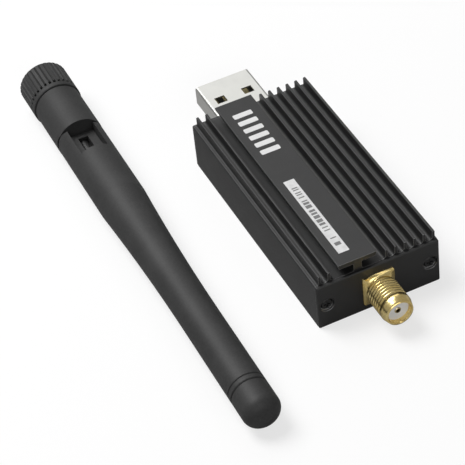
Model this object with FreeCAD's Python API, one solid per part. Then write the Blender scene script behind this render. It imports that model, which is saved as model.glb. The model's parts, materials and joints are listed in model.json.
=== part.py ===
import FreeCAD, Part
import math
import os

os.makedirs("parts", exist_ok=True)

V = FreeCAD.Vector

# Radio stick and its screw-on aerial, in millimetres.
# Origin: centre of the case's underside.  +Z up, +Y towards the USB plug,
# so the aerial port points to -Y.

# Clearances between pieces
slip = 0.02            # a round piece pushed into its seat
running = 0.05         # a turning or sliding fit, on the radius
side_gap = 0.10        # flat neighbours that must not bind

# Heat-sink case: one length of extruded aluminium
case_width = 25.7
overall_case_length = 54.0
plate_thickness = 0.7
case_length = overall_case_length - 2 * plate_thickness
valley_height = 10.4   # the floor of the grooves between the fins
fin_height = 12.45
deck_height = 13.17    # top of the flat raised deck that carries the marking
side_wall = 1.3
floor_wall = 1.2
roof_wall = 1.2
half_width = case_width / 2
upper_corner = 0.35
lower_corner = 0.3
hollow_corner = 0.5

fin_pitch = 1.975
fin_thickness = 0.55
fin_tip_round = 0.15
groove_round = 0.65    # the grooves have rounded feet
left_fins = 2
right_fins = 6
first_fin_x = -half_width + 1.1
last_fin_x = half_width - 0.77
first_fin_outer_foot = 0.3
last_fin_outer_foot = 0.1

# Deck: a slab on one rib, open at both sides and both ends
left_valley = 1.65     # from the inner fins' flanks to the slab
right_valley = 1.73
deck_left = first_fin_x + (left_fins - 1) * fin_pitch + fin_thickness / 2 + left_valley
deck_right = last_fin_x - (right_fins - 1) * fin_pitch - fin_thickness / 2 - right_valley
deck_slab = 0.95
deck_undercut = 0.25
deck_rib = 1.7
deck_rib_foot = 0.4
deck_edge_round = 0.15

# Circuit board and the rails that hold it
board_thickness = 1.6
board_bottom = 2.9
board_top = board_bottom + board_thickness
rail_reach = 2.75
rail_inner_x = half_width - side_wall - rail_reach
rail_groove_depth = 0.65
rail_bottom = 2.1
rail_top = 7.3
board_half_width = rail_inner_x + rail_groove_depth - side_gap
solder_height = 0.15
radio_from_port = 10.1     # behind the port's soldered legs
supply_from_plug = 12.6    # before the plug's cut-out
radio_side = 7.0
radio_height = 0.9
bridge_side = 5.0
bridge_height = 0.85
chip_bevel = 0.12
crystal_height = 0.7
crystal_length = 3.2
crystal_from_edge = 3.65   # the outer parts are placed from the board's long edges
small_crystal_from_edge = 3.85
regulator_from_edge = 4.35
led_from_edge = 3.75
row_gap = 2.2              # from the radio chip's side to the rows of capacitors
row_start = 3.0
row_from_edge = 3.65
capacitor_pitch = 2.0

# End plates
plate_side_margin = 0.03
plate_foot_margin = 0.03
plate_top_margin = 0.06
plate_corner = 0.3
plate_edge_chamfer = 0.18

# Cover screws
screw_x = half_width - 2.0
screw_z = 5.4
screw_shank_radius = 0.8
screw_head_radius = 1.25
screw_head_height = 0.3
screw_head_bevel = 0.2
screw_length = 6.0
screw_point = 0.4
screw_hole_radius = screw_shank_radius + 2 * side_gap
head_pocket_radius = 1.45
head_pocket_depth = 0.5
cross_half_length = 0.65
cross_half_width = 0.15
cross_depth = 0.2
pilot_radius = screw_shank_radius + running

# USB type A plug
plug_width = 12.0
plug_height = 4.5
plug_centre_z = 5.02
plug_wall = 0.3
plug_corner = 0.55
plug_exposed = 13.8
plug_inside = 4.2
plug_cavity = 11.8
tongue_thickness = 1.85
tongue_setback = 0.5
contact_thickness = 0.12
contact_width = 1.1
inner_contact_x = 1.0
outer_contact_x = 3.5
inner_contact_setback = 2.2
outer_contact_setback = 1.2
contact_foot = 1.45
latch_hole_x = 3.03
latch_hole_width = 2.2
latch_hole_length = 2.0
latch_hole_from_mouth = 6.15
shell_tab_reach = 1.3
shell_tab_length = 1.6

# Aerial port
port_x = -0.15
port_z = board_top + 0.4
port_radius = 3.175
port_neck_radius = 2.85
port_rim_radius = 2.75
port_flange = 6.5
port_flange_thickness = 2.0
port_flange_proud = 0.4
port_flange_corner = 0.3
port_reach = 8.3
port_cone = 1.5        # long lead-in cone at the mouth
port_runout_cone = 0.35
port_runout = 0.6
port_bore_radius = 2.3
port_mouth_bevel = 0.2
port_recess = 1.0
port_tail_hole = 1.4
port_contact_radius = 0.65
port_contact_bore = 0.45
port_contact_depth = 2.6
port_tail_radius = 0.4
port_tail = 3.0
port_leg_width = 1.0
port_leg_height = 0.9
port_leg_length = 3.8

# Aerial, measured along its own axis from the coupling's open end
ring_radius = 5.2
ring_end = 8.6
ring_bevel = 0.5
knurl_end = 6.8
knurl_count = 32
knurl_depth = 0.25
knurl_half_width = 0.26
knurl_pit_start = 6.65
knurl_pit_end = 7.5
knurl_pit_half_width = 0.28
knurl_pit_depth = 0.6
nut_across_flats = 7.6
nut_start = 0.25
nut_end = 6.0
nut_bore_radius = port_radius + running + slip
nut_lip_start = 4.6
nut_mouth_bevel = 0.3
front_tube_start = 2.4
front_tube_end = 3.4
front_tube_radius = 2.25
connector_bore = 1.9
connector_back_hole = 1.2
connector_flange_radius = 3.1
neck_radius = 2.45
clip_groove_radius = 2.15
clip_start = nut_end + side_gap
clip_end = clip_start + 0.5
clip_radius = 3.1
clip_split = 0.7
collar_start = 9.3
collar_end = 12.0
collar_radius = 3.3
collar_back = 1.0
cable_start = collar_end + 0.2
insulator_start = 2.9
pin_start = 1.7
pin_point = 0.4
pin_point_radius = 0.2
pin_step = 6.0
pin_radius = 0.45
pin_rear_radius = 0.6
base_start = ring_end + side_gap
base_radius = 4.95
base_edge = 0.15
shoulder = 21.0
hinge_at = 26.0
hinge_above_axis = 0.65
window_end = 29.6
tongue_half_width = 2.75
tongue_top = 1.7
tongue_round = 3.45
window_half_width = tongue_half_width + side_gap
window_floor = hinge_above_axis - tongue_round - side_gap
boss_radius = 1.0
boss_reach = 3.9
cable_slot_half_width = 1.05
cable_slot_start = 22.6
cable_slot_end = 27.1
ear_round = 5.3
shoulder_round = ear_round + side_gap + slip
sleeve_start = shoulder + 0.15
sleeve_radius = 4.9
taper_start = 43.0
taper_end = 80.0
tip_radius = 3.775
aerial_length = 107.7
tip_round = 2.6
tip_crown = 0.25
cap_length = 8.4
cap_start = aerial_length - cap_length
cap_groove = aerial_length - 7.1
cap_groove_depth = 0.25
cap_seam_bevel = 0.2
cap_spigot = 8.0
cap_spigot_start = cap_start - cap_spigot
hollow_start = 33.0
hollow_radius = 3.0
cable_radius = 0.9
cable_bore_radius = cable_radius + running
feed_point = 62.0
dipole_wall = 0.35
dipole_end_wall = 0.6
wire_radius = 0.35

# How the aerial lies beside the stick: on its ring and on the full part of
# its sleeve, so its tapered tip stays just clear of the table
aerial_x = -31.67
aerial_y = 61.87
aerial_turn = -0.56
aerial_pitch = math.degrees(math.atan((ring_radius - sleeve_radius) / (taper_start - ring_end)))

# Beyond every face that a cut has to pass
clear = 1.0


def box(x_low, x_high, y_low, y_high, z_low, z_high):
    """Block between two opposite corners."""
    return Part.makeBox(x_high - x_low, y_high - y_low, z_high - z_low, V(x_low, y_low, z_low))


def rod(radius, y_low, y_high, x=0.0, z=0.0):
    """Cylinder along Y."""
    return Part.makeCylinder(radius, y_high - y_low, V(x, y_low, z), V(0, 1, 0))


def rounded_along_y(shape, radius, chosen):
    """Round the edges along Y whose middle the chosen test accepts."""
    edges = []
    for edge in shape.Edges:
        middle = edge.CenterOfMass
        start, end = edge.Vertexes[0].Point, edge.Vertexes[-1].Point
        along_y = abs(start.x - end.x) < 1e-6 and abs(start.z - end.z) < 1e-6
        if along_y and chosen(middle):
            edges.append(edge)
    return shape.makeFillet(radius, edges)


def save(shape, name):
    """Write one piece, or one group of separate pieces, to its own file."""
    shape.exportStep("parts/" + name + ".step")


def group(solids):
    return Part.makeCompound(solids)


# Heat-sink case

case_front = -case_length / 2
case_rear = case_length / 2
front_face = case_front - plate_thickness
rear_face = case_rear + plate_thickness
root = valley_height - roof_wall / 2


def quarter(centre_x, centre_z, radius, from_angle, to_angle):
    """Quarter circle in the case's section, angles in degrees from +X towards +Z."""
    def point(angle):
        turn = math.radians(angle)
        return V(centre_x + radius * math.cos(turn), case_front, centre_z + radius * math.sin(turn))
    return Part.Arc(point(from_angle), point((from_angle + to_angle) / 2), point(to_angle)).toShape()


def section(parts):
    """Length of the extrusion over a closed outline of lines and arcs, in order."""
    joined = []
    for i, part in enumerate(parts):
        joined.append(part)
        here = part.Vertexes[-1].Point
        there = parts[(i + 1) % len(parts)].Vertexes[0].Point
        joined.append(Part.makeLine(here, there))
    return Part.Face(Part.Wire(joined)).extrude(V(0, case_length, 0))


def fin(x, left_foot, right_foot):
    """One cooling fin: straight flanks on rounded feet, edges just broken at its tip."""
    left = x - fin_thickness / 2
    right = x + fin_thickness / 2
    tip = fin_height - fin_tip_round
    below = Part.makeLine(V(right + right_foot, case_front, root), V(left - left_foot, case_front, root))
    return section([
        below,
        quarter(left - left_foot, valley_height + left_foot, left_foot, -90, 0),
        quarter(left + fin_tip_round, tip, fin_tip_round, 180, 90),
        quarter(right - fin_tip_round, tip, fin_tip_round, 90, 0),
        quarter(right + right_foot, valley_height + right_foot, right_foot, 180, 270),
    ])


def deck():
    """Slab with undercut sides on one central rib with rounded feet."""
    middle = (deck_left + deck_right) / 2
    under = deck_height - deck_slab
    half_rib = deck_rib / 2
    foot = deck_rib_foot
    edge = deck_edge_round
    left_foot = middle - half_rib - foot
    right_foot = middle + half_rib + foot
    left_under = deck_left + deck_undercut
    right_under = deck_right - deck_undercut
    below = Part.makeLine(V(right_foot, case_front, root), V(left_foot, case_front, root))
    left_side = Part.makeLine(V(middle - half_rib, case_front, under), V(left_under, case_front, under))
    right_side = Part.makeLine(V(right_under, case_front, under), V(middle + half_rib, case_front, under))
    return section([
        below,
        quarter(middle - half_rib - foot, valley_height + foot, foot, -90, 0),
        left_side,
        quarter(deck_left + edge, deck_height - edge, edge, 180, 90),
        quarter(deck_right - edge, deck_height - edge, edge, 90, 0),
        right_side,
        quarter(middle + half_rib + foot, valley_height + foot, foot, 180, 270),
    ])


def heatsink_case():
    body = box(-half_width, half_width, case_front, case_rear, 0, valley_height)
    body = rounded_along_y(body, upper_corner, lambda p: p.z > valley_height / 2)
    body = rounded_along_y(body, lower_corner, lambda p: p.z < valley_height / 2)
    raised = [deck()]
    for i in range(left_fins):
        outer_foot = first_fin_outer_foot if i == 0 else groove_round
        raised.append(fin(first_fin_x + i * fin_pitch, outer_foot, groove_round))
    for i in range(right_fins):
        outer_foot = last_fin_outer_foot if i == 0 else groove_round
        raised.append(fin(last_fin_x - i * fin_pitch, groove_round, outer_foot))
    body = body.fuse(raised).removeSplitter()

    # hollow for the electronics, with a grooved rail down each side
    front, rear = case_front - clear, case_rear + clear
    inner_x = half_width - side_wall
    hollow = box(-inner_x, inner_x, front, rear, floor_wall, valley_height - roof_wall)
    hollow = rounded_along_y(hollow, hollow_corner, lambda p: True)
    rail_root = inner_x + side_wall / 4
    left_rail = box(-rail_root, -rail_inner_x, case_front, case_rear, rail_bottom, rail_top)
    right_rail = box(rail_inner_x, rail_root, case_front, case_rear, rail_bottom, rail_top)
    groove_top = board_top + running
    groove_x = rail_inner_x + rail_groove_depth
    groove = box(-groove_x, groove_x, front, rear, board_bottom, groove_top)

    body = body.cut(hollow)
    body = body.fuse([left_rail, right_rail]).removeSplitter()
    body = body.cut(groove)
    for x in (-screw_x, screw_x):
        body = body.cut(rod(pilot_radius, front, rear, x, screw_z))
    return body


# End plates and their screws


def end_plate(outer_y, inner_y, opening):
    """Flat cover with two pocketed screw holes and one opening."""
    y_low, y_high = min(outer_y, inner_y), max(outer_y, inner_y)
    plate = box(-half_width + plate_side_margin, half_width - plate_side_margin, y_low, y_high,
                plate_foot_margin, valley_height - plate_top_margin)
    plate = rounded_along_y(plate, plate_corner, lambda p: True)
    outer_edges = [e for e in plate.Edges
                   if all(abs(v.Point.y - outer_y) < 1e-6 for v in e.Vertexes)]
    plate = plate.makeChamfer(plate_edge_chamfer, outer_edges)
    inward = 1 if inner_y > outer_y else -1
    pocket_end = outer_y + inward * head_pocket_depth
    for x in (-screw_x, screw_x):
        plate = plate.cut(rod(screw_hole_radius, y_low - clear, y_high + clear, x, screw_z))
        pocket = rod(head_pocket_radius, min(outer_y - inward, pocket_end),
                     max(outer_y - inward, pocket_end), x, screw_z)
        plate = plate.cut(pocket)
    return plate.cut(opening)


def cover_screw(x, outer_y, inward):
    """Pan-head screw with a cross recess, seated in its pocket."""
    seat = outer_y + inward * head_pocket_depth
    top = seat - inward * screw_head_height
    end = seat + inward * screw_length
    profile = [
        V(0, top, 0), V(screw_head_radius - screw_head_bevel, top, 0),
        V(screw_head_radius, top + inward * screw_head_bevel, 0), V(screw_head_radius, seat, 0),
        V(screw_shank_radius, seat, 0), V(screw_shank_radius, end - inward * screw_point, 0),
        V(screw_shank_radius / 2, end, 0), V(0, end, 0), V(0, top, 0),
    ]
    screw = Part.Face(Part.makePolygon(profile)).revolve(V(0, 0, 0), V(0, 1, 0), 360)
    floor = top + inward * cross_depth
    y_low, y_high = min(top - inward, floor), max(top - inward, floor)
    screw = screw.cut(box(-cross_half_length, cross_half_length, y_low, y_high, -cross_half_width, cross_half_width))
    screw = screw.cut(box(-cross_half_width, cross_half_width, y_low, y_high, -cross_half_length, cross_half_length))
    screw.translate(V(x, 0, screw_z))
    return screw


port_clear = port_flange / 2 + side_gap
port_opening = box(port_x - port_clear, port_x + port_clear, front_face - clear, case_front + clear,
                   port_z - port_clear, port_z + port_clear)
plug_clear_x = plug_width / 2 + side_gap
plug_clear_z = plug_height / 2 + side_gap
plug_opening = box(-plug_clear_x, plug_clear_x, case_rear - clear, rear_face + clear,
                   plug_centre_z - plug_clear_z, plug_centre_z + plug_clear_z)


# Circuit board and what is soldered to it

flange_front = front_face - port_flange_proud
flange_back = flange_front + port_flange_thickness
plug_back = rear_face - plug_inside
board_front = flange_back + side_gap
board_rear = case_rear - side_gap
board_cut_y = plug_back - 2 * side_gap
radio_y = flange_back + port_leg_length + radio_from_port
supply_y = board_cut_y - supply_from_plug


def circuit_board():
    board = box(-board_half_width, board_half_width, board_front, board_rear, board_bottom, board_top)
    return board.cut(box(-plug_clear_x, plug_clear_x, board_cut_y, board_rear + clear,
                         board_bottom - clear, board_top + clear))


def chip(x, y, width, length, height, bevel):
    """Square-cornered package with a bevelled top, on the board: width along X, length along Y."""
    top = board_top + height
    body = box(x - width / 2, x + width / 2, y - length / 2, y + length / 2, board_top, top)
    top_edges = [e for e in body.Edges if all(abs(v.Point.z - top) < 1e-6 for v in e.Vertexes)]
    return body.makeChamfer(bevel, top_edges)


def radio_chip():
    return chip(-0.5, radio_y, radio_side, radio_side, radio_height, chip_bevel)


def usb_bridge_chip():
    return chip(1.5, supply_y - 1.5, bridge_side, bridge_side, bridge_height, chip_bevel)


def voltage_regulator():
    return chip(regulator_from_edge - board_half_width, supply_y, 3.4, 6.2, 1.6, 0.25)


def status_led():
    return chip(board_half_width - led_from_edge, supply_y + 5.5, 0.8, 1.6, 0.6, 0.1)


def crystals():
    """Two quartz crystals in their metal cans, beside the radio chip."""
    large_x = crystal_from_edge - board_half_width
    small_x = small_crystal_from_edge - board_half_width
    large = chip(large_x, radio_y - 0.5, 2.5, crystal_length, crystal_height, chip_bevel)
    small = chip(small_x, radio_y + 4.5, 1.6, crystal_length, crystal_height, chip_bevel)
    return group([large, small])


def capacitors():
    """Rows of small ceramic capacitors round the radio chip and before the plug."""
    pitch = capacitor_pitch
    half_radio = radio_side / 2
    supply_row = small_crystal_from_edge - board_half_width
    places = [(pitch * step - row_start, radio_y - half_radio - row_gap) for step in range(4)]
    places += [(board_half_width - row_from_edge, radio_y - half_radio + pitch * step) for step in range(3)]
    places += [(supply_row + pitch * step, supply_y + 5.5) for step in range(3)]
    return group([chip(x, y, 1.0, 0.6, 0.5, 0.05) for x, y in places])


# USB plug

plug_mouth = rear_face + plug_exposed
plug_low = plug_centre_z - plug_height / 2
plug_high = plug_centre_z + plug_height / 2
inner_half = plug_width / 2 - plug_wall
inner_low = plug_low + plug_wall
inner_high = plug_high - plug_wall
tongue_surface = inner_low + tongue_thickness
cavity_back = plug_mouth - plug_cavity
contact_places = (-outer_contact_x, -inner_contact_x, inner_contact_x, outer_contact_x)


def usb_plug_shell():
    """Folded steel shell: open mouth, latch windows, two tabs on the board."""
    outer = box(-plug_width / 2, plug_width / 2, plug_back, plug_mouth, plug_low, plug_high)
    outer = rounded_along_y(outer, plug_corner, lambda p: True)
    inner = box(-inner_half, inner_half, plug_back - clear, plug_mouth + clear, inner_low, inner_high)
    inner = rounded_along_y(inner, plug_corner - plug_wall, lambda p: True)
    shell = outer.cut(inner)
    window_y = plug_mouth - latch_hole_from_mouth
    for x in (-latch_hole_x, latch_hole_x):
        shell = shell.cut(box(x - latch_hole_width / 2, x + latch_hole_width / 2,
                              window_y - latch_hole_length / 2, window_y + latch_hole_length / 2,
                              plug_low - clear, plug_high + clear))
    tab_y = plug_back + 1.0
    tab_root = plug_width / 2 - plug_wall / 2
    tab_end = plug_width / 2 + shell_tab_reach
    tab_top = board_top + plug_wall
    left_tab = box(-tab_end, -tab_root, tab_y, tab_y + shell_tab_length, board_top, tab_top)
    right_tab = box(tab_root, tab_end, tab_y, tab_y + shell_tab_length, board_top, tab_top)
    return shell.fuse([left_tab, right_tab]).removeSplitter()


def contact_strip(x, front):
    """One contact: blade on the tongue, stepped down to the board behind."""
    top = tongue_surface + contact_thickness
    half = contact_width / 2
    riser_front = board_cut_y - solder_height
    riser_back = riser_front - solder_height
    blade = box(x - half, x + half, riser_back, front, tongue_surface, top)
    riser = box(x - half, x + half, riser_back, riser_front, board_top, top)
    foot = box(x - half, x + half, riser_front - contact_foot, riser_front, board_top, board_top + solder_height)
    return blade.fuse([riser, foot]).removeSplitter()


def usb_contacts():
    """Four contacts; the outer two reach further forward, so power joins first."""
    strips = []
    for x in contact_places:
        setback = outer_contact_setback if abs(x) == outer_contact_x else inner_contact_setback
        strips.append(contact_strip(x, plug_mouth - setback))
    return group(strips)


def usb_plug_insulator():
    """Moulded block that closes the shell and carries the contact tongue."""
    edge = inner_half - slip
    block = box(-edge, edge, plug_back, cavity_back, inner_low, inner_high - slip)
    tongue = box(-edge, edge, cavity_back - clear, plug_mouth - tongue_setback, inner_low, tongue_surface)
    moulding = block.fuse(tongue).removeSplitter()
    moulding = rounded_along_y(moulding, plug_corner - plug_wall + side_gap / 2,
                               lambda p: abs(p.x) > edge - side_gap and abs(p.z - tongue_surface) > side_gap)
    for x in contact_places:
        moulding = moulding.cut(box(x - contact_width / 2, x + contact_width / 2, plug_back - clear, cavity_back,
                                    tongue_surface, tongue_surface + contact_thickness))
    return moulding


# Aerial port

barrel_end = front_face - port_reach
recess_floor = barrel_end + port_recess
port_step = flange_back - 1.0
contact_step = port_step - 1.2


def turned(profile, x=0.0, z=0.0):
    """Turned piece about a line along Y; the profile is (y, radius) pairs."""
    points = [V(radius, y, 0) for y, radius in profile]
    points.append(points[0])
    shape = Part.Face(Part.makePolygon(points)).revolve(V(0, 0, 0), V(0, 1, 0), 360)
    shape.translate(V(x, 0, z))
    return shape


def port_body():
    """Square flange, barrel with a lead-in cone and a run-out groove, and four board legs."""
    half = port_flange / 2
    flange = box(port_x - half, port_x + half, flange_front, flange_back, port_z - half, port_z + half)
    flange = rounded_along_y(flange, port_flange_corner, lambda p: True)
    bevel = port_mouth_bevel
    runout = flange_front - port_runout
    barrel = turned([
        (barrel_end, 0), (barrel_end, port_rim_radius), (barrel_end + port_cone, port_radius),
        (runout - port_runout_cone, port_radius), (runout, port_neck_radius),
        (flange_front + clear / 2, port_neck_radius), (flange_front + clear / 2, 0),
    ], port_x, port_z)
    body = flange.fuse(barrel)
    bore = turned([
        (barrel_end - clear, 0), (barrel_end - clear, port_bore_radius + bevel),
        (barrel_end, port_bore_radius + bevel), (barrel_end + bevel, port_bore_radius),
        (port_step, port_bore_radius), (port_step, port_tail_hole),
        (flange_back + clear, port_tail_hole), (flange_back + clear, 0),
    ], port_x, port_z)
    body = body.cut(bore)
    legs = []
    leg_back = flange_back + port_leg_length
    for side in (-1, 1):
        middle = port_x + side * (half - port_leg_width / 2)
        left, right = middle - port_leg_width / 2, middle + port_leg_width / 2
        leg_root = flange_back - 2 * side_gap
        legs.append(box(left, right, leg_root, leg_back, board_top, board_top + port_leg_height))
        legs.append(box(left, right, leg_root, leg_back, board_bottom - port_leg_height, board_bottom))
    return body.fuse(legs).removeSplitter()


def port_insulator():
    outer = port_bore_radius - slip
    hole = port_contact_radius + slip
    tail_hole = port_tail_radius + slip
    return turned([
        (recess_floor, hole), (recess_floor, outer), (port_step, outer),
        (port_step, tail_hole), (contact_step, tail_hole), (contact_step, hole),
    ], port_x, port_z)


def port_contact():
    """Gilt socket in front, solder tail on the board behind."""
    mouth = recess_floor - 2 * side_gap
    socket_end = mouth + port_contact_depth
    tail_end = flange_back + port_tail
    return turned([
        (mouth, port_contact_bore), (mouth, port_contact_radius - side_gap), (mouth + side_gap, port_contact_radius),
        (contact_step, port_contact_radius), (contact_step, port_tail_radius),
        (tail_end, port_tail_radius), (tail_end, 0), (socket_end, 0), (socket_end, port_contact_bore),
    ], port_x, port_z)


# Aerial, built along -Y from its open end and then laid down


def laid(shape):
    """Move a piece from the aerial's own axis to its place beside the stick."""
    pitch = math.radians(aerial_pitch)
    height = ring_radius * math.cos(pitch) + ring_end * math.sin(pitch)
    shape.rotate(V(0, 0, 0), V(1, 0, 0), aerial_pitch)
    shape.rotate(V(0, 0, 0), V(0, 0, 1), aerial_turn)
    shape.translate(V(aerial_x, aerial_y, height))
    return shape


def turned_aerial(profile):
    """Turned piece on the aerial's axis; the profile is (distance, radius) pairs."""
    return turned([(-distance, radius) for distance, radius in profile])


def aerial_box(half_x, start, end, z_low, z_high):
    return box(-half_x, half_x, -end, -start, z_low, z_high)


def cross_rod(radius, x_low, x_high):
    """Cylinder along X on the hinge line."""
    return Part.makeCylinder(radius, x_high - x_low, V(x_low, -hinge_at, hinge_above_axis), V(1, 0, 0))


def hexagon(across_flats, start, end):
    corner = across_flats / math.sqrt(3)
    points = [V(corner * math.cos(math.radians(60 * i)), -start, corner * math.sin(math.radians(60 * i)))
              for i in range(7)]
    return Part.Face(Part.makePolygon(points)).extrude(V(0, start - end, 0))


beyond = ring_radius + clear    # outside every round piece of the aerial


def coupling_ring():
    """Finger ring over the coupling nut; each flute of its knurl ends in a small pit."""
    edge = knurl_depth / 2
    ring = turned_aerial([
        (0, 0), (0, ring_radius - ring_bevel), (ring_bevel, ring_radius), (ring_end - edge, ring_radius),
        (ring_end, ring_radius - edge), (ring_end, 0),
    ])
    ring = ring.cut(hexagon(nut_across_flats, -clear, nut_end))
    ring = ring.cut(rod(clip_radius + 2 * side_gap, -ring_end - clear, -nut_end + clear))
    above = ring_radius + running
    floor = ring_radius - knurl_depth
    pit_floor = ring_radius - knurl_pit_depth
    for i in range(knurl_count):
        outline = Part.makePolygon([
            V(-knurl_half_width, clear, above), V(knurl_half_width, clear, above),
            V(0, clear, floor), V(-knurl_half_width, clear, above),
        ])
        flute = Part.Face(outline).extrude(V(0, -clear - knurl_end, 0))
        pit = aerial_box(knurl_pit_half_width, knurl_pit_start, knurl_pit_end, pit_floor, beyond)
        for cutter in (flute, pit):
            cutter.rotate(V(0, 0, 0), V(0, 1, 0), 360.0 / knurl_count * (i + 0.5))
            ring = ring.cut(cutter)
    return ring


def coupling_nut():
    """Hexagonal brass nut; its inner lip turns behind the connector's flange."""
    nut = hexagon(nut_across_flats, nut_start, nut_end)
    lip_bore = neck_radius + side_gap
    mouth_radius = nut_bore_radius + nut_mouth_bevel
    bore = turned_aerial([
        (nut_start - clear, 0), (nut_start - clear, mouth_radius), (nut_start, mouth_radius),
        (nut_start + nut_mouth_bevel, nut_bore_radius), (nut_lip_start, nut_bore_radius),
        (nut_lip_start, lip_bore), (nut_end + clear, lip_bore), (nut_end + clear, 0),
    ])
    return nut.cut(bore)


def aerial_connector_body():
    """Turned brass tube: front tube, flange, neck with clip groove, buried collar."""
    flange_end = nut_lip_start - side_gap
    bevelled = front_tube_radius - side_gap
    step = collar_end - collar_back
    return turned_aerial([
        (front_tube_start, connector_bore), (front_tube_start, bevelled),
        (front_tube_start + side_gap, front_tube_radius), (front_tube_end, front_tube_radius),
        (front_tube_end, connector_flange_radius), (flange_end, connector_flange_radius),
        (flange_end, neck_radius), (clip_start, neck_radius), (clip_start, clip_groove_radius),
        (clip_end, clip_groove_radius), (clip_end, neck_radius), (collar_start, neck_radius),
        (collar_start, collar_radius), (collar_end, collar_radius), (collar_end, connector_back_hole),
        (step, connector_back_hole), (step, connector_bore),
    ])


def retaining_ring():
    """Split spring ring in the neck's groove; it keeps the nut on."""
    bore = clip_groove_radius + slip
    ring = turned_aerial([(clip_start, bore), (clip_start, clip_radius), (clip_end, clip_radius), (clip_end, bore)])
    return ring.cut(aerial_box(clip_split / 2, clip_start - clear, clip_end + clear, 0, beyond))


def aerial_insulator():
    outer = connector_bore - slip
    step = collar_end - collar_back
    return turned_aerial([
        (insulator_start, pin_radius + slip), (insulator_start, outer), (step, outer), (step, pin_rear_radius + slip),
        (pin_step, pin_rear_radius + slip), (pin_step, pin_radius + slip),
    ])


def aerial_pin():
    """Centre pin with a pointed end, thicker where the cable is soldered on."""
    return turned_aerial([
        (pin_start, 0), (pin_start, pin_point_radius), (pin_start + pin_point, pin_radius), (pin_step, pin_radius),
        (pin_step, pin_rear_radius), (cable_start, pin_rear_radius), (cable_start, 0),
    ])


def aerial_base():
    """Knuckle: round grip, shoulder, and a tongue with two hinge bosses."""
    grip = turned_aerial([
        (base_start, 0), (base_start, base_radius - base_edge), (base_start + base_edge, base_radius),
        (shoulder, base_radius), (shoulder, 0),
    ])
    # the shoulder is hollowed a little round the hinge line, beside the tongue
    left_relief = cross_rod(shoulder_round, -beyond, -tongue_half_width)
    right_relief = cross_rod(shoulder_round, tongue_half_width, beyond)
    grip = grip.cut(left_relief).cut(right_relief)
    tongue = aerial_box(tongue_half_width, shoulder - clear, hinge_at, hinge_above_axis - tongue_round, tongue_top)
    nose = cross_rod(tongue_round, -tongue_half_width, tongue_half_width)
    nose = nose.common(aerial_box(beyond, hinge_at - clear, hinge_at + beyond, -beyond, tongue_top))
    bosses = cross_rod(boss_radius, -boss_reach, boss_reach)
    base = grip.fuse([tongue, nose, bosses]).removeSplitter()
    neck_hole = neck_radius + running
    collar_hole = collar_radius + slip
    seat = turned_aerial([
        (base_start - clear, 0), (base_start - clear, neck_hole), (collar_start, neck_hole),
        (collar_start, collar_hole), (collar_end, collar_hole), (collar_end, cable_bore_radius),
        (cable_slot_end, cable_bore_radius), (cable_slot_end, 0),
    ])
    cable_slot = aerial_box(cable_slot_half_width, cable_slot_start, cable_slot_end, 0, tongue_top + clear)
    return base.cut(seat).cut(cable_slot)


def turned_outline(edges):
    """Turned piece whose outline of lines and arcs runs from axis to axis."""
    start, end = edges[0].Vertexes[0].Point, edges[-1].Vertexes[-1].Point
    outline = Part.Wire(edges + [Part.makeLine(end, start)])
    return Part.Face(outline).revolve(V(0, 0, 0), V(0, 1, 0), 360)


def line_chain(points):
    """Straight edges through (distance, radius) points along the aerial."""
    corners = [V(radius, -distance, 0) for distance, radius in points]
    return [Part.makeLine(a, b) for a, b in zip(corners, corners[1:])]


def aerial_sleeve():
    """Long tapered whip cover with a forked end that straddles the tongue."""
    # the taper starts flush with the full part and runs flush into the tip
    bend = (taper_start + taper_end) / 2
    taper = Part.BezierCurve()
    taper.setPoles([V(sleeve_radius, -taper_start, 0), V(tip_radius, -bend, 0), V(tip_radius, -taper_end, 0)])
    full = line_chain([(sleeve_start, 0), (sleeve_start, sleeve_radius), (taper_start, sleeve_radius)])
    end = line_chain([
        (taper_end, tip_radius), (cap_start - cap_seam_bevel, tip_radius), (cap_start, tip_radius - cap_seam_bevel),
        (cap_start, 0),
    ])
    sleeve = turned_outline(full + [taper.toShape()] + end)
    sleeve = sleeve.cut(rod(cable_bore_radius, -hollow_start - clear, -window_end + clear))
    sleeve = sleeve.cut(rod(hollow_radius, -cap_start - clear, -hollow_start))
    sleeve = sleeve.cut(aerial_box(window_half_width, sleeve_start - clear, window_end, window_floor, beyond))
    sleeve = sleeve.cut(cross_rod(boss_radius + running, -boss_reach - side_gap, boss_reach + side_gap))
    # the ears' upper corners are rounded about the hinge line so they clear the shoulder
    corner = aerial_box(beyond, sleeve_start - clear, hinge_at, hinge_above_axis, beyond)
    corner = corner.cut(cross_rod(ear_round, -beyond - clear, beyond + clear))
    return sleeve.cut(corner)


def aerial_tip_cap():
    """Push-in end cap: spigot, decorative groove and rounded nose."""
    spigot = hollow_radius - slip
    nose_radius = tip_radius - tip_round
    shoulder_y = aerial_length - tip_round
    crown_y = aerial_length - tip_crown
    bend = tip_round * (1 - math.sqrt(0.5))
    depth = shoulder_y + (crown_y - shoulder_y) * math.sqrt(0.5)
    nose = Part.Arc(V(tip_radius, -shoulder_y, 0), V(tip_radius - bend, -depth, 0), V(nose_radius, -crown_y, 0))
    seam = tip_radius - cap_seam_bevel
    side = line_chain([
        (cap_spigot_start, 0), (cap_spigot_start, spigot), (cap_start, spigot), (cap_start, seam),
        (cap_start + cap_seam_bevel, tip_radius), (shoulder_y, tip_radius),
    ])
    crown = line_chain([(crown_y, nose_radius), (aerial_length, 0)])
    cap = turned_outline(side + [nose.toShape()] + crown)
    half = cap_groove_depth
    groove = turned_aerial([
        (cap_groove - half, beyond), (cap_groove - half, tip_radius), (cap_groove, tip_radius - cap_groove_depth),
        (cap_groove + half, tip_radius), (cap_groove + half, beyond),
    ])
    return cap.cut(groove)


def base_feed_cable():
    """Thin coaxial cable from the connector's pin to the slot in the tongue."""
    return rod(cable_radius, -cable_slot_end + side_gap, -cable_start)


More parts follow.
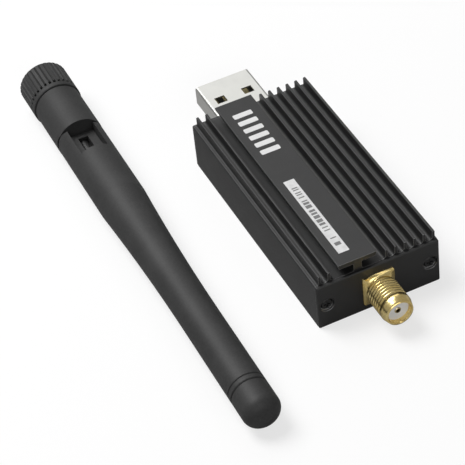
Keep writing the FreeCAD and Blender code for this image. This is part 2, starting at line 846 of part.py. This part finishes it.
def whip_feed_cable():
    """The same cable beyond the hinge, up to the feed point."""
    return rod(cable_radius, -feed_point, -window_end - 2 * side_gap)


def dipole_sleeve():
    """Brass tube, closed round the cable at the feed point."""
    end = feed_point - 1.0
    outer = hollow_radius - slip
    inner = outer - dipole_wall
    hole = cable_radius + slip
    closed = end - dipole_end_wall
    return turned_aerial([
        (hollow_start, inner), (hollow_start, outer), (end, outer), (end, hole), (closed, hole), (closed, inner),
    ])


def radiator_wire():
    return rod(wire_radius, -cap_spigot_start, -feed_point)


# Every piece, written to its own file

save(heatsink_case(), "heatsink_case")
save(end_plate(front_face, case_front, port_opening), "front_end_plate")
save(end_plate(rear_face, case_rear, plug_opening), "rear_end_plate")
save(group([cover_screw(x, front_face, 1) for x in (-screw_x, screw_x)]), "front_screws")
save(group([cover_screw(x, rear_face, -1) for x in (-screw_x, screw_x)]), "rear_screws")

save(circuit_board(), "circuit_board")
save(radio_chip(), "radio_chip")
save(usb_bridge_chip(), "usb_bridge_chip")
save(voltage_regulator(), "voltage_regulator")
save(crystals(), "crystals")
save(capacitors(), "capacitors")
save(status_led(), "status_led")

save(usb_plug_shell(), "usb_plug_shell")
save(usb_plug_insulator(), "usb_plug_insulator")
save(usb_contacts(), "usb_contacts")

save(port_body(), "port_body")
save(port_insulator(), "port_insulator")
save(port_contact(), "port_contact")

save(laid(coupling_ring()), "coupling_ring")
save(laid(coupling_nut()), "coupling_nut")
save(laid(aerial_connector_body()), "aerial_connector_body")
save(laid(retaining_ring()), "retaining_ring")
save(laid(aerial_insulator()), "aerial_insulator")
save(laid(aerial_pin()), "aerial_pin")
save(laid(aerial_base()), "aerial_base")
save(laid(aerial_sleeve()), "aerial_sleeve")
save(laid(aerial_tip_cap()), "aerial_tip_cap")
save(laid(base_feed_cable()), "base_feed_cable")
save(laid(whip_feed_cable()), "whip_feed_cable")
save(laid(dipole_sleeve()), "dipole_sleeve")
save(laid(radiator_wire()), "radiator_wire")
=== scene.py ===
import json
import math

import bpy
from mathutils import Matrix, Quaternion, Vector


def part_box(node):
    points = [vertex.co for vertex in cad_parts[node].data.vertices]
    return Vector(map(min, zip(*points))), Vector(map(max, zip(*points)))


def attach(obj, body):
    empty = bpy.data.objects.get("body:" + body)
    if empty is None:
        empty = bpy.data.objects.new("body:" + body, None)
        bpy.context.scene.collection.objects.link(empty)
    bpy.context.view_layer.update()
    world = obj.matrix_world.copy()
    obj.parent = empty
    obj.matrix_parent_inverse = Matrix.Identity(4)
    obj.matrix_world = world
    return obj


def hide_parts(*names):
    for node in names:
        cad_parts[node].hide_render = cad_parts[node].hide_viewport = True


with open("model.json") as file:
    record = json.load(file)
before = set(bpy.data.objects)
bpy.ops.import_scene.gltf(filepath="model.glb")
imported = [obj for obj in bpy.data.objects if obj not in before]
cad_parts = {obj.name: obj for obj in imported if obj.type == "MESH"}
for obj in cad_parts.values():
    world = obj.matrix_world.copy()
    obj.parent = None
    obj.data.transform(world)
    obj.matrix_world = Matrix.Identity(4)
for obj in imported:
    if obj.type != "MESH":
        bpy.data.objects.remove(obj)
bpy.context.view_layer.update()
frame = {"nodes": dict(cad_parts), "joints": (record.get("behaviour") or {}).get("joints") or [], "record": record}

# Radio stick and its screw-on aerial: threads, printing and finishes on the
# CAD pieces, and the studio they are photographed in. Sizes are in millimetres
# where nothing else is said, in the CAD pieces' own frame; MM makes them metres.

MM = 0.001

# Quarter-inch thread of the port and the coupling nut
thread_pitch = 25.4 / 36
thread_major = 3.175       # radius
thread_depth = 0.3
thread_narrow_side = 0.05
thread_slope = math.tan(math.radians(30))
thread_steps = 48          # round one turn
thread_clearance = 0.07    # between the nut's ridge and the bottom of the port's groove
cutter_overshoot = 0.02    # how far the groove's cutter stands out of the barrel
port_turns = 7
port_thread_start = 2.0    # from the port's mouth to the first groove
nut_turns = 3
nut_thread_start = 0.55    # from the nut's mouth to the first ridge

# Printing on the deck: a white strip near the port, plain blocks near the plug
deck_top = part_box("heatsink_case")[1].z / MM
print_thickness = 0.02
strip_left = -6.14
strip_right = -3.88
strip_front = -23.4
strip_rear = -0.6
strip_corner = 0.12
bar_pitch = 0.3
bar_half_height = 0.56
bar_end_fade = 0.08
row_half_length = 9.5
row_end_fade = 0.1
empty_cells = 0.48         # share of the row's cells with no bar in them
bar_ink = 0.8
block_left = -6.0
block_right = -1.9
block_front = 8.6
block_pitch = 2.45
block_length = 1.35
block_corner = 0.3
block_count = 6

# Cover screws, and the broken edges of their holes, bare metal below each screw as a painted highlight
screw_low, screw_high = (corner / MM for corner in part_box("front_screws"))
screw_z = (screw_low.z + screw_high.z) / 2
screw_x = screw_high.x - (screw_high.z - screw_low.z) / 2
sink_inner = 1.3
sink_outer = 1.7
sink_depth = 0.25
bare_inner = 1.42
bare_outer = 1.6
highlight_from = 0.3            # below the screw's middle: the bare metal and its painted highlight begin
highlight_fully = 1.1           # and are full
bare_highlight_grey = 0.36

# Edges in the finishes: how far the rounded and the true normal part
edge_begins = 0.02
edge_full = 0.28

# Closeness of points that count as one, and of faces that are shaded as one
merge_distance = 0.001
same_place = 1e-4
smooth_degrees = 32

# How the photograph was taken
camera_target = Vector((-15.397, 5.104, 0.0)) * MM
camera_azimuth = -21.153
camera_elevation = 42.961
camera_roll = -6.775
camera_distance = 438.485 * MM
camera_focal_pixels = 2245.1
photo_pixels = 465
sensor_mm = 36.0
camera_near_m = 0.01
camera_far_m = 20.0

# Floor and background, as the camera, mirroring pieces and the light see them
floor_size_m = 4.0
floor_drop = 0.02
floor_light_grey = 0.34
floor_seen_grey = 0.93
floor_seen_white = 0.7     # share of plain white
floor_mirrored_white = 0.1
world_light_grey = 0.08
world_mirrored_white = 0.25


# Materials


class Wire:
    """A number inside a material. Sums and products of wires add Math nodes."""

    def __init__(self, nodes, socket):
        self.nodes = nodes
        self.socket = socket

    def maths(self, operation, *values):
        return self.nodes.node("ShaderNodeMath", {"operation": operation}, dict(enumerate(values)))

    def __add__(self, other):
        return self.maths("ADD", self, other)

    def __radd__(self, other):
        return self.maths("ADD", other, self)

    def __sub__(self, other):
        return self.maths("SUBTRACT", self, other)

    def __rsub__(self, other):
        return self.maths("SUBTRACT", other, self)

    def __mul__(self, other):
        return self.maths("MULTIPLY", self, other)

    def __rmul__(self, other):
        return self.maths("MULTIPLY", other, self)

    def __truediv__(self, other):
        return self.maths("DIVIDE", self, other)

    def __pow__(self, other):
        return self.maths("POWER", self, other)

    def __abs__(self):
        return self.maths("ABSOLUTE", self)

    def whole(self):
        return self.maths("FLOOR", self)

    def above(self, other):
        return self.maths("GREATER_THAN", self, other)

    def or_more(self, other):
        return self.maths("MAXIMUM", self, other)


def colour(value):
    """A plain colour with its alpha, or a wire as it is."""
    if isinstance(value, Wire):
        return value
    return (value[0], value[1], value[2], 1.0)


def grey(value):
    return (value, value, value)


def scaled(tone, factor):
    """The colour made darker or lighter, each part no lighter than full."""
    return tuple(min(1.0, part * factor) for part in tone)


class Nodes:
    """The nodes of one material or of the world."""

    def __init__(self, tree):
        self.tree = tree
        tree.nodes.clear()

    def node(self, kind, settings=None, inputs=None, output=0):
        """Add a node: first its settings, then its sockets as values or wires."""
        made = self.tree.nodes.new(kind)
        for name, value in (settings or {}).items():
            setattr(made, name, value)
        for name, value in (inputs or {}).items():
            if isinstance(value, Wire):
                self.tree.links.new(value.socket, made.inputs[name])
            else:
                made.inputs[name].default_value = value
        return Wire(self, made.outputs[output])

    def blend(self, mask, low, high):
        """Colour low where the mask is 0, colour high where it is 1."""
        return self.node("ShaderNodeMix", {"data_type": "RGBA"},
                         {0: mask, 6: colour(low), 7: colour(high)}, 2)

    def rays(self):
        """1 for what the camera sees, and 1 for what is mirrored or seen through a piece."""
        seen, mirrored, through = (
            self.node("ShaderNodeLightPath", output="Is " + kind + " Ray")
            for kind in ("Camera", "Glossy", "Transmission"))
        return seen, mirrored.or_more(through)

    def show(self, shader, kind="ShaderNodeOutputMaterial"):
        output = self.tree.nodes.new(kind)
        self.tree.links.new(shader.socket, output.inputs["Surface"])


class Finish(Nodes):
    """One procedural material, on coordinates in millimetres that stay with the piece."""

    def __init__(self, name):
        self.material = bpy.data.materials.new(name)
        self.material.use_nodes = True
        super().__init__(self.material.node_tree)
        place = self.node("ShaderNodeTexCoord", output="Object")
        self.place = self.node("ShaderNodeVectorMath", {"operation": "SCALE"},
                               {0: place, "Scale": 1 / MM})

    def axis(self, name):
        """The coordinate along X, Y or Z."""
        return self.node("ShaderNodeSeparateXYZ", None, {0: self.place}, name)

    def stretched(self, x, y, z):
        """Coordinates stretched by these factors, for patterns longer one way."""
        return self.node("ShaderNodeVectorMath", {"operation": "MULTIPLY"},
                         {0: self.place, 1: (x, y, z)})

    def noise(self, scale, detail=2.0, roughness=0.5, place=None):
        """Cloudy pattern from 0 to 1, scale features to the millimetre."""
        return self.node("ShaderNodeTexNoise", None, {
            "Vector": place or self.place, "Scale": scale, "Detail": detail,
            "Roughness": roughness})

    def ramp(self, value, low, high):
        """0 below low, 1 above high."""
        return self.node("ShaderNodeMapRange", {"interpolation_type": "SMOOTHSTEP"}, {
            "Value": value, "From Min": low, "From Max": high, "To Min": 0.0, "To Max": 1.0})

    def mottle(self, pattern, spread, low, high):
        """Colours low and high, for a pattern this far below and above a half."""
        return self.blend(self.ramp(pattern, 0.5 - spread, 0.5 + spread), low, high)

    def edges(self, width):
        """1 on sharp outer edges, fading over this width."""
        rounded = self.node("ShaderNodeBevel", {"samples": 6}, {"Radius": width * MM})
        true = self.node("ShaderNodeNewGeometry", output="Normal")
        agree = self.node("ShaderNodeVectorMath", {"operation": "DOT_PRODUCT"},
                          {0: rounded, 1: true}, "Value")
        return self.ramp(1.0 - agree, edge_begins, edge_full)

    def bump(self, height, depth, normal=None):
        """Relief of this depth, on top of another relief if one is given."""
        inputs = {"Height": height, "Distance": depth * MM, "Strength": 1.0}
        if normal:
            inputs["Normal"] = normal
        return self.node("ShaderNodeBump", None, inputs)

    def surface(self, **sockets):
        """The shader: names with underscores are its sockets."""
        self.show(self.node("ShaderNodeBsdfPrincipled", None, {
            name.replace("_", " "): colour(value) if name == "Base_Color" else value
            for name, value in sockets.items()}))
        return self.material


def screw_hole_edges(f):
    """Height of the broken edges round the cover screws, and 1 where they are bare metal, kept to their lower side
    as a painted highlight.
    """
    sideways, upwards = f.axis("X"), f.axis("Z")
    from_screw = ((abs(sideways) - screw_x) ** 2 + (upwards - screw_z) ** 2) ** 0.5
    # Only below the screw's middle: painted highlight where the lower wall of each hole would catch the light.
    lower_side_highlight = f.ramp(screw_z - upwards, highlight_from, highlight_fully)
    bare_and_highlight = (1.0 - f.ramp(from_screw, bare_inner, bare_outer)) * lower_side_highlight
    return f.ramp(from_screw, sink_inner, sink_outer), bare_and_highlight


def anodised(name, tone, edge_wear_and_highlight, along, countersunk=False):
    """Black anodised aluminium; along stretches its faint drawing lines.

    A countersunk plate has broken edges round its screws, with bare metal on their lower side as a painted
    highlight.
    """
    f = Finish(name)
    cloud = f.noise(0.22, detail=3.0)
    lines = f.noise(1.0, detail=5.0, roughness=0.6, place=f.stretched(*along))
    grain = f.noise(16.0)
    blast = f.noise(3.0, roughness=0.7)
    edge = f.edges(0.2)
    shade = f.mottle(cloud * 0.35 + lines * 0.2 + blast * 0.45, 0.16,
                     grey(tone * 0.72), grey(tone * 1.28))
    # Lighter edges: partly wear, partly a painted highlight along the fin crests and other edges.
    shade = f.blend(edge * (0.45 + lines * 0.6), shade, grey(edge_wear_and_highlight))
    normal = f.bump(lines * 0.3 + grain * 0.3 + blast * 0.4, 0.012)
    bare_and_highlight = 0.0
    if countersunk:
        rim, bare_and_highlight = screw_hole_edges(f)
        normal = f.bump(rim, sink_depth, normal)
        # Bare metal round the screw holes, on their lower side only: partly a bare cut, partly a painted
        # highlight.
        shade = f.blend(bare_and_highlight, shade, grey(bare_highlight_grey))
    return f.surface(
        Base_Color=shade,
        Roughness=0.41 + lines * 0.08 + grain * 0.05 + blast * 0.12 - edge * 0.08,
        Metallic=bare_and_highlight,
        Specular_IOR_Level=0.54,
        Normal=normal,
    )


def moulded(name, tone, rough=0.55):
    """Black plastic from a spark-eroded mould."""
    f = Finish(name)
    cloud = f.noise(0.16, detail=3.0)
    pits = f.noise(7.5, detail=3.0, roughness=0.62)
    grain = f.noise(20.0)
    orange_peel = f.noise(2.4, roughness=0.7)
    edge = f.edges(0.12)
    shade = f.mottle(cloud * 0.4 + pits * 0.2 + orange_peel * 0.4, 0.16,
                     grey(tone * 0.8), grey(tone * 1.2))
    shade = f.blend(edge * 0.35, shade, grey(tone * 2.2))
    return f.surface(
        Base_Color=shade,
        Roughness=rough + pits * 0.12 - edge * 0.1,
        Specular_IOR_Level=0.3,
        Normal=f.bump(pits * 0.4 + grain * 0.2 + orange_peel * 0.4, 0.014),
    )


def gilt(name, tone, dull):
    """Gold plate over turned brass, clouded with a duller tone, with a painted highlight on its edges."""
    f = Finish(name)
    cloud = f.noise(0.5, detail=3.0)
    scratches = f.noise(1.0, detail=4.0, roughness=0.7, place=f.stretched(9.0, 26.0, 9.0))
    edge = f.edges(0.09)
    shade = f.mottle(cloud * 0.6 + scratches * 0.4, 0.18, dull, tone)
    # Brighter gold on the edges: painted highlight.
    shade = f.blend(edge * 0.6, shade, scaled(tone, 1.12))
    return f.surface(
        Base_Color=shade,
        Metallic=1.0,
        Roughness=0.2 + scratches * 0.12 - edge * 0.05,
        Normal=f.bump(scratches, 0.003),
    )


def plated(name, tone, along=(14.0, 1.2, 14.0), rough=0.26):
    """Plated metal with fine rolling lines, and a painted highlight on its edges."""
    f = Finish(name)
    cloud = f.noise(0.3, detail=3.0)
    lines = f.noise(1.0, detail=5.0, roughness=0.65, place=f.stretched(*along))
    edge = f.edges(0.1)
    shade = f.mottle(cloud * 0.6 + lines * 0.4, 0.2, scaled(tone, 0.93), tone)
    # Lighter edges: painted highlight.
    shade = f.blend(edge * 0.6, shade, scaled(tone, 1.15))
    return f.surface(
        Base_Color=shade,
        Metallic=1.0,
        Roughness=rough + lines * 0.12,
        Normal=f.bump(lines, 0.0025),
    )


def plain_plastic(name, tone, rough=0.5):
    """Smooth moulded plastic, resin or ink."""
    f = Finish(name)
    cloud = f.noise(0.5)
    grain = f.noise(9.0, detail=3.0)
    return f.surface(
        Base_Color=f.mottle(cloud * 0.7 + grain * 0.3, 0.2, scaled(tone, 0.93), tone),
        Roughness=rough + grain * 0.1,
        Normal=f.bump(grain, 0.004),
    )


def laminate(name):
    """Green solder resist with the faint weave of the glass cloth beneath."""
    f = Finish(name)
    weave = f.node("ShaderNodeTexWave", {"wave_type": "BANDS", "bands_direction": "X"}, {
        "Vector": f.place, "Scale": 1.6, "Distortion": 0.4})
    cloud = f.noise(0.4)
    shade = f.blend(cloud * 0.6 + weave * 0.4, (0.01, 0.045, 0.02), (0.02, 0.085, 0.035))
    return f.surface(
        Base_Color=shade,
        Roughness=0.3 + cloud * 0.15,
        Normal=f.bump(weave, 0.01),
    )


def marked_strip(name):
    """White printed strip with a row of plain dark bars of uneven width."""
    f = Finish(name)
    across, along = f.axis("X"), f.axis("Y")
    cloud = f.noise(0.8, detail=3.0)
    white = f.mottle(cloud, 0.2, grey(0.62), grey(0.72))
    pick = f.node("ShaderNodeTexWhiteNoise", {"noise_dimensions": "1D"},
                  {"W": (along / bar_pitch).whole()}, "Value")
    off_line = abs(across - (strip_left + strip_right) / 2)
    off_middle = abs(along - (strip_front + strip_rear) / 2)
    in_line = 1.0 - f.ramp(off_line, bar_half_height, bar_half_height + bar_end_fade)
    in_row = 1.0 - f.ramp(off_middle, row_half_length, row_half_length + row_end_fade)
    ink = pick.above(empty_cells) * in_line * in_row * bar_ink
    return f.surface(
        Base_Color=f.blend(ink, white, grey(0.05)),
        Roughness=0.5 + cloud * 0.1,
        Specular_IOR_Level=0.3,
    )


def floor_paper(name):
    """Grey paper for the light on the object, nearly white to the camera, with its shadow."""
    f = Finish(name)
    paper = f.node("ShaderNodeBsdfDiffuse", None, {"Color": colour(grey(floor_light_grey))})
    pale_paper = f.node("ShaderNodeBsdfDiffuse", None, {"Color": colour(grey(floor_seen_grey))})
    white = f.node("ShaderNodeEmission", None, {"Color": colour(grey(1.0)), "Strength": 1.0})
    seen, mirrored = f.rays()
    for_light = f.node("ShaderNodeMixShader", None,
                       {0: mirrored * floor_mirrored_white, 1: paper, 2: white})
    for_camera = f.node("ShaderNodeMixShader", None,
                        {0: floor_seen_white, 1: pale_paper, 2: white})
    f.show(f.node("ShaderNodeMixShader", None, {0: seen, 1: for_light, 2: for_camera}))
    return f.material


finishes = {
    "anodised_case": anodised("anodised_case", tone=0.012, edge_wear_and_highlight=0.28, along=(11.0, 0.05, 11.0)),
    "anodised_plate": anodised("anodised_plate", tone=0.01, edge_wear_and_highlight=0.07, along=(3.0, 3.0, 0.6),
                               countersunk=True),
    "black_screw": plated("black_screw", grey(0.05), along=(8.0, 8.0, 8.0), rough=0.36),
    "board_laminate": laminate("board_laminate"),
    "chip_epoxy": moulded("chip_epoxy", tone=0.022),
    "crystal_can": plated("crystal_can", (0.62, 0.6, 0.56)),
    "ceramic": plain_plastic("ceramic", (0.35, 0.24, 0.15), rough=0.4),
    "led_resin": plain_plastic("led_resin", (0.72, 0.76, 0.56), rough=0.25),
    "plug_steel": plated("plug_steel", (0.66, 0.66, 0.63)),
    "plug_plastic": plain_plastic("plug_plastic", (0.105, 0.105, 0.085)),
    # Darker, duller gold than gilt_body: painted shade for contacts that sit in shadowed cavities.
    "gilt_contact": gilt("gilt_contact", (0.78, 0.68, 0.42), dull=(0.6, 0.5, 0.28)),
    "gilt_body": gilt("gilt_body", (0.98, 0.8, 0.38), dull=(0.88, 0.66, 0.24)),
    "ptfe": plain_plastic("ptfe", grey(0.9), rough=0.45),
    "aerial_plastic": moulded("aerial_plastic", tone=0.034, rough=0.5),
    "cable_jacket": plain_plastic("cable_jacket", grey(0.022), rough=0.4),
    "radiator_brass": plated("radiator_brass", (0.7, 0.52, 0.22)),
}
print_white = plain_plastic("print_white", grey(0.74))
strip_print = marked_strip("strip_print")


def give_finish(piece, material):
    piece.data.materials.clear()
    piece.data.materials.append(material)


for part in frame["record"]["subparts"]:
    give_finish(frame["nodes"][part["node"]], finishes[part["material_slot"]])


# Modelling by hand


def clear_selection():
    """Leave edit mode, with nothing selected."""
    if bpy.context.object and bpy.context.object.mode != "OBJECT":
        bpy.ops.object.mode_set(mode="OBJECT")
    bpy.ops.object.select_all(action="DESELECT")


def select_only(piece):
    clear_selection()
    piece.select_set(True)
    bpy.context.view_layer.objects.active = piece


def edit(piece):
    """Open one piece, and only that one, in edit mode."""
    select_only(piece)
    bpy.ops.object.mode_set(mode="EDIT")


def pick_edges(piece, chosen):
    """In edit mode, select the edges whose two ends the test accepts."""
    bpy.ops.mesh.select_mode(type="EDGE")
    bpy.ops.mesh.select_all(action="DESELECT")
    bpy.ops.object.mode_set(mode="OBJECT")
    points = piece.data.vertices
    for line in piece.data.edges:
        start, end = (points[i].co / MM for i in line.vertices)
        line.select = chosen(start, end)
    bpy.ops.object.mode_set(mode="EDIT")


def apply_modifier(piece, kind, name, **settings):
    """Add a modifier to the piece and apply it."""
    select_only(piece)
    modifier = piece.modifiers.new(name, kind)
    for setting, value in settings.items():
        setattr(modifier, setting, value)
    bpy.ops.object.modifier_apply(modifier=name)


def place_in_mesh(piece):
    """Put the object's place, turn and size into its mesh."""
    select_only(piece)
    bpy.ops.object.transform_apply(location=True, rotation=True, scale=True)


def merged_copy(node, name):
    """A piece of its own with a CAD node's shape, its loose triangles joined."""
    source = frame["nodes"][node]
    piece = bpy.data.objects.new(name, source.data.copy())
    bpy.context.scene.collection.objects.link(piece)
    edit(piece)
    bpy.ops.mesh.select_all(action="SELECT")
    bpy.ops.mesh.remove_doubles(threshold=merge_distance * MM)
    bpy.ops.object.mode_set(mode="OBJECT")
    return piece


def thread_helix(name, inner_radius, outer_radius, turns, start):
    """A long V-shaped ridge wound round the Y axis, start being its first turn's middle."""
    height = outer_radius - inner_radius
    wide_side = thread_narrow_side + 2 * thread_slope * height
    # the ridge's section, first as a rectangle
    clear_selection()
    bpy.ops.mesh.primitive_plane_add(
        size=1, location=((inner_radius + height / 2) * MM, start * MM, 0))
    helix = bpy.context.object
    helix.name = name
    helix.scale = (height * MM, wide_side * MM, 1)
    place_in_mesh(helix)
    # then narrower on its inner side, and only its outline is wound up
    edit(helix)
    pick_edges(helix, lambda a, b: max(a.x, b.x) < inner_radius + height / 4)
    bpy.ops.transform.resize(value=(1, thread_narrow_side / wide_side, 1),
                             center_override=(inner_radius * MM, start * MM, 0))
    bpy.ops.mesh.select_all(action="SELECT")
    bpy.ops.mesh.delete(type="ONLY_FACE")
    bpy.ops.object.mode_set(mode="OBJECT")
    apply_modifier(helix, "SCREW", "wind", axis="Y", angle=math.radians(360),
                   screw_offset=thread_pitch * MM, iterations=turns,
                   steps=thread_steps, render_steps=thread_steps)
    # and its two ends closed
    edit(helix)
    bpy.ops.mesh.select_all(action="SELECT")
    bpy.ops.mesh.fill_holes(sides=4)
    bpy.ops.mesh.select_all(action="SELECT")
    bpy.ops.mesh.normals_make_consistent(inside=False)
    bpy.ops.object.mode_set(mode="OBJECT")
    return helix


def cut_thread(piece, tool, operation):
    """Cut or add the thread's shape, put the tool away, and smooth and plate the piece."""
    apply_modifier(piece, "BOOLEAN", "tool", object=tool, operation=operation, solver="EXACT")
    bpy.data.objects.remove(tool)
    select_only(piece)
    bpy.ops.object.shade_smooth_by_angle(angle=math.radians(smooth_degrees))
    give_finish(piece, finishes["gilt_body"])


def printed(name, left, right, front, rear, corner, material):
    """One flat printed shape with rounded corners on the deck."""
    clear_selection()
    bpy.ops.mesh.primitive_cube_add(size=1, location=(
        (left + right) / 2 * MM, (front + rear) / 2 * MM, (deck_top + print_thickness / 2) * MM))
    shape = bpy.context.object
    shape.name = name
    shape.scale = ((right - left) * MM, (rear - front) * MM, print_thickness * MM)
    place_in_mesh(shape)
    edit(shape)
    pick_edges(shape, lambda a, b: abs(a.x - b.x) < same_place and abs(a.y - b.y) < same_place)
    bpy.ops.mesh.bevel(offset=corner * MM, segments=4, profile=0.5)
    bpy.ops.object.mode_set(mode="OBJECT")
    give_finish(shape, material)
    return shape


# The port's thread, cut into its barrel

port_low, port_high = (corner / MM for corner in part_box("port_body"))
threaded_port = merged_copy("port_body", "threaded_port")
groove = thread_helix("thread_groove", thread_major - thread_depth,
                      thread_major + cutter_overshoot, port_turns,
                      port_low.y + port_thread_start)
groove.location = ((port_low.x + port_high.x) / 2 * MM, 0, (port_low.z + port_high.z) / 2 * MM)
place_in_mesh(groove)
cut_thread(threaded_port, groove, "DIFFERENCE")
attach(threaded_port, "stick")
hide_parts("port_body")

# The coupling nut's thread, in its bore

spin = next(joint for joint in frame["joints"] if joint["name"] == "coupling_spin")
spin_place = Vector(spin["pos_m"])
spin_axis = Vector(spin["axis"]).normalized()
nut_points = frame["nodes"]["coupling_nut"].data.vertices
nut_end = max(vertex.co.dot(spin_axis) for vertex in nut_points)
threaded_nut = merged_copy("coupling_nut", "threaded_nut")
ridge = thread_helix("thread_ridge", thread_major - thread_depth + thread_clearance,
                     thread_major + 2 * thread_clearance, nut_turns, nut_thread_start)
ridge.rotation_mode = "QUATERNION"
ridge.rotation_quaternion = Vector((0, 1, 0)).rotation_difference(-spin_axis)
ridge.location = spin_place + spin_axis * (nut_end - spin_place.dot(spin_axis))
place_in_mesh(ridge)
cut_thread(threaded_nut, ridge, "UNION")
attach(threaded_nut, "coupling")
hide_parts("coupling_nut")

# Printing on the deck

shapes = [printed("printed_strip", strip_left, strip_right, strip_front, strip_rear,
                  strip_corner, strip_print)]
for count in range(block_count):
    front = block_front + count * block_pitch
    shapes.append(printed("printed_block_" + str(count + 1), block_left, block_right,
                          front, front + block_length, block_corner, print_white))
for shape in shapes:
    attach(shape, "stick")


# Camera


def look_from(azimuth, elevation):
    """Direction from the object towards a viewer at this azimuth and elevation."""
    a = math.radians(azimuth)
    e = math.radians(elevation)
    return Vector((math.sin(a) * math.cos(e), -math.cos(a) * math.cos(e), math.sin(e)))


camera_data = bpy.data.cameras.new("camera")
camera_data.sensor_width = sensor_mm
camera_data.lens = camera_focal_pixels * sensor_mm / photo_pixels
camera_data.clip_start = camera_near_m
camera_data.clip_end = camera_far_m
camera = bpy.data.objects.new("camera", camera_data)
bpy.context.scene.collection.objects.link(camera)
towards_viewer = look_from(camera_azimuth, camera_elevation)
camera.location = camera_target + towards_viewer * camera_distance
camera.rotation_mode = "QUATERNION"
level = (-towards_viewer).to_track_quat("-Z", "Y")
camera.rotation_quaternion = level @ Quaternion((0, 0, 1), math.radians(camera_roll))
bpy.context.scene.camera = camera


# Light, background and floor


def soft_box(name, direction, distance, width, height, power):
    """A large rectangular lamp aimed at the object; distance and sizes in metres."""
    lamp = bpy.data.lights.new(name, "AREA")
    lamp.shape = "RECTANGLE"
    lamp.size = width
    lamp.size_y = height
    lamp.energy = power
    holder = bpy.data.objects.new(name, lamp)
    bpy.context.scene.collection.objects.link(holder)
    direction = Vector(direction).normalized()
    holder.location = camera_target + direction * distance
    holder.rotation_euler = (-direction).to_track_quat("-Z", "Y").to_euler()
    holder.visible_camera = False


def studio_world(name):
    """White to the camera, dimmer in mirroring pieces, and darker still as a light."""
    world = bpy.data.worlds.new(name)
    world.use_nodes = True
    sky = Nodes(world.node_tree)
    seen, mirrored = sky.rays()
    whiteness = (mirrored * world_mirrored_white).or_more(seen)
    backdrop = sky.blend(whiteness, grey(world_light_grey), grey(1.0))
    sky.show(sky.node("ShaderNodeBackground", None, {"Color": backdrop}), "ShaderNodeOutputWorld")
    return world


soft_box("key_light", (-0.32, 0.38, 0.87), distance=0.8, width=0.4, height=0.45, power=6.2)
soft_box("back_light", (0.12, 0.7, 0.7), distance=0.9, width=0.8, height=0.45, power=1.15)
soft_box("front_light", (-0.1, -0.9, 0.42), distance=0.9, width=0.8, height=0.35, power=2.4)
bpy.context.scene.world = studio_world("studio")

clear_selection()
bpy.ops.mesh.primitive_plane_add(size=floor_size_m, location=(0, 0, -floor_drop * MM))
floor = bpy.context.object
floor.name = "floor"
give_finish(floor, floor_paper("floor_paper"))

bpy.context.scene.view_settings.view_transform = "Standard"
